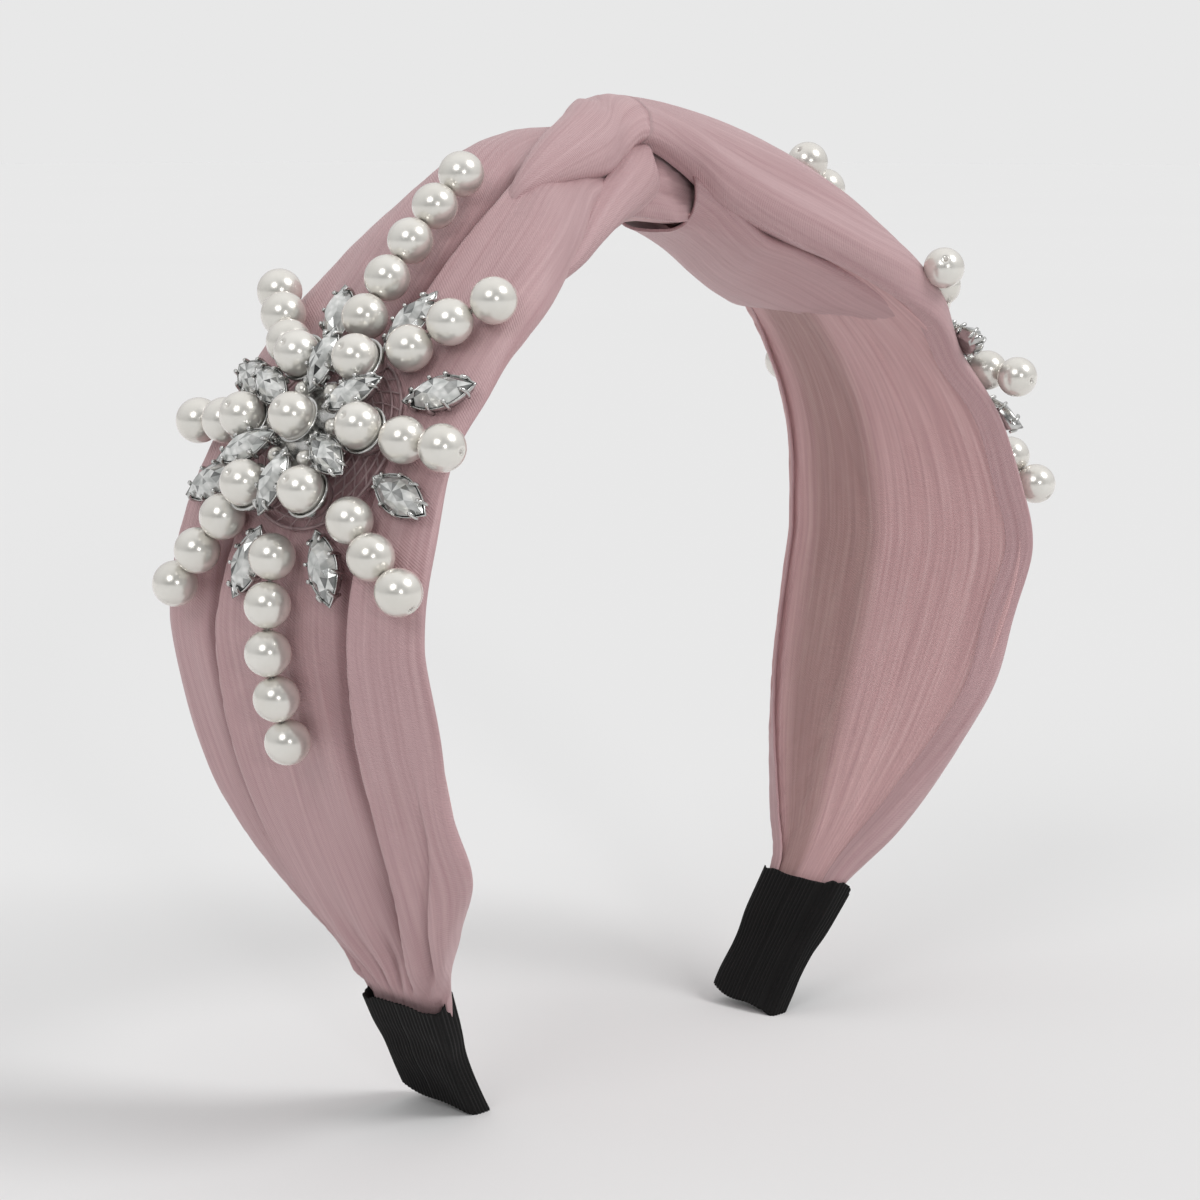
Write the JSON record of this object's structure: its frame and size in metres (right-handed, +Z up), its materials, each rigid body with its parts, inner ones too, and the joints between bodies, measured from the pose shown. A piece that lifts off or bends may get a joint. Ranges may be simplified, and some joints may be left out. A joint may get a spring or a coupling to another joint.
{
  "type": "headband",
  "caption": "Wide knotted fabric headband on a spring core, with a pearl and crystal sunburst on each side and ribbon-wrapped tips.",
  "frame": {"origin": "bottom centre of the object's box, on the surface the two tips stand on", "axes": "+X from the left arm to the right arm, +Y from the front edge of the band to its back edge, +Z up to the knot"},
  "size_m": [0.1716, 0.0606, 0.1605],
  "materials": {
    "satin": "dusty pink crinkled satin with lengthwise pleats",
    "lining": "thin matt lining",
    "ribbon": "black ribbed grosgrain ribbon",
    "core_steel": "flat spring strip",
    "net": "stiff sheer net",
    "pearl": "pearlescent white",
    "crystal": "clear faceted stone with a silvered back",
    "silver": "bright plated claw settings and cups"
  },
  "bodies": {
    "crown": {"core_crown": "core_steel", "lining_crown": "lining", "knot_left_loop": "satin", "knot_right_loop": "satin"},
    "left_arm": {"core_left": "core_steel", "lining_left": "lining", "cover_left": "satin", "ribbon_left": "ribbon", "left_net_disc": "net", "left_flower": "pearl", "left_pearl_ray_1": "pearl", "left_pearl_ray_2": "pearl", "left_pearl_ray_3": "pearl", "left_pearl_ray_4": "pearl", "left_pearl_ray_5": "pearl", "left_pearl_ray_6": "pearl", "left_pearl_ray_7": "pearl", "left_pearl_ray_8": "pearl", "left_outer_crystal_1": "crystal", "left_outer_crystal_2": "crystal", "left_outer_crystal_3": "crystal", "left_outer_crystal_4": "crystal", "left_outer_crystal_5": "crystal", "left_outer_crystal_6": "crystal", "left_outer_crystal_7": "crystal", "left_outer_crystal_8": "crystal", "left_inner_crystal_1": "crystal", "left_inner_crystal_2": "crystal", "left_inner_crystal_3": "crystal", "left_inner_crystal_4": "crystal", "left_inner_crystal_5": "crystal", "left_inner_crystal_6": "crystal"},
    "right_arm": {"core_right": "core_steel", "lining_right": "lining", "cover_right": "satin", "ribbon_right": "ribbon", "right_net_disc": "net", "right_flower": "pearl", "right_pearl_ray_1": "pearl", "right_pearl_ray_2": "pearl", "right_pearl_ray_3": "pearl", "right_pearl_ray_4": "pearl", "right_pearl_ray_5": "pearl", "right_pearl_ray_6": "pearl", "right_pearl_ray_7": "pearl", "right_pearl_ray_8": "pearl", "right_outer_crystal_1": "crystal", "right_outer_crystal_2": "crystal", "right_outer_crystal_3": "crystal", "right_outer_crystal_4": "crystal", "right_outer_crystal_5": "crystal", "right_outer_crystal_6": "crystal", "right_outer_crystal_7": "crystal", "right_outer_crystal_8": "crystal", "right_inner_crystal_1": "crystal", "right_inner_crystal_2": "crystal", "right_inner_crystal_3": "crystal", "right_inner_crystal_4": "crystal", "right_inner_crystal_5": "crystal", "right_inner_crystal_6": "crystal"}
  },
  "joints": [
    {"name": "left_arm_flex", "type": "hinge", "parent": "crown", "child": "left_arm", "pos_m": [-0.03052, 0.0024, 0.13804], "axis": [0, 1, 0], "range_deg": [-4, 12], "stiffness_Nm_per_rad": 1},
    {"name": "right_arm_flex", "type": "hinge", "parent": "crown", "child": "right_arm", "pos_m": [0.03052, 0.0024, 0.13804], "axis": [0, -1, 0], "range_deg": [-4, 12], "stiffness_Nm_per_rad": 1}
  ]
}
